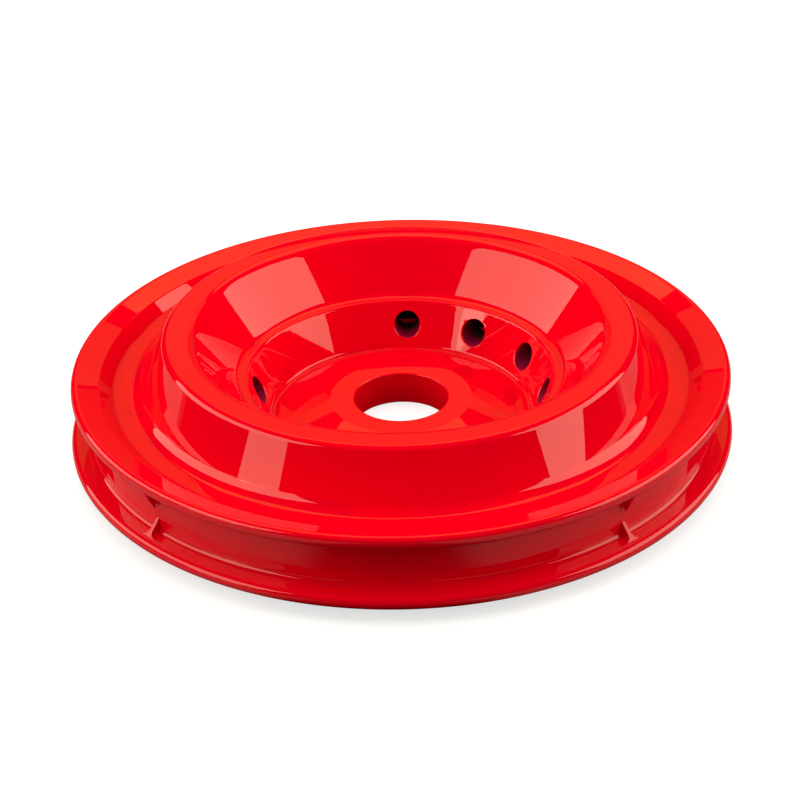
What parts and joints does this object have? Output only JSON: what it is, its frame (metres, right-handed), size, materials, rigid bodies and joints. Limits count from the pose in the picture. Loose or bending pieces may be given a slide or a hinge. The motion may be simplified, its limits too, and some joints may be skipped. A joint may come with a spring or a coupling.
{
  "type": "wheel rim",
  "caption": "Red painted steel wheel centre: two flanges with a tyre groove between them, a raised dish, a cup with a drilled wall and a bored hub.",
  "frame": {"origin": "on the wheel's axis, at the hub's back face, which is the lowest plane", "axes": "+Z along the wheel's axis out of the dish; +Y through the first hole of the cup wall"},
  "size_m": [0.2236, 0.2236, 0.0399],
  "materials": {
    "red_paint": "high-gloss red enamel",
    "painted_weld": "high-gloss red enamel over a dressed weld"
  },
  "bodies": {
    "root": {"upper_rim_pressing": "red_paint", "lower_flange": "red_paint", "groove_band": "red_paint", "dish_shell": "red_paint", "dish_funnel": "red_paint", "drilled_ring": "red_paint", "hub_floor": "red_paint", "hub_boss": "red_paint", "back_plate": "red_paint", "dish_weld": "painted_weld", "ridge_weld": "painted_weld", "floor_weld": "painted_weld", "boss_weld": "painted_weld", "back_inner_weld": "painted_weld", "back_outer_weld": "painted_weld", "lower_groove_weld": "painted_weld", "upper_groove_weld": "painted_weld", "lower_key_1": "red_paint", "upper_key_1": "red_paint", "lower_key_2": "red_paint", "upper_key_2": "red_paint", "lower_key_3": "red_paint", "upper_key_3": "red_paint", "lower_key_4": "red_paint", "upper_key_4": "red_paint"}
  },
  "joints": []
}
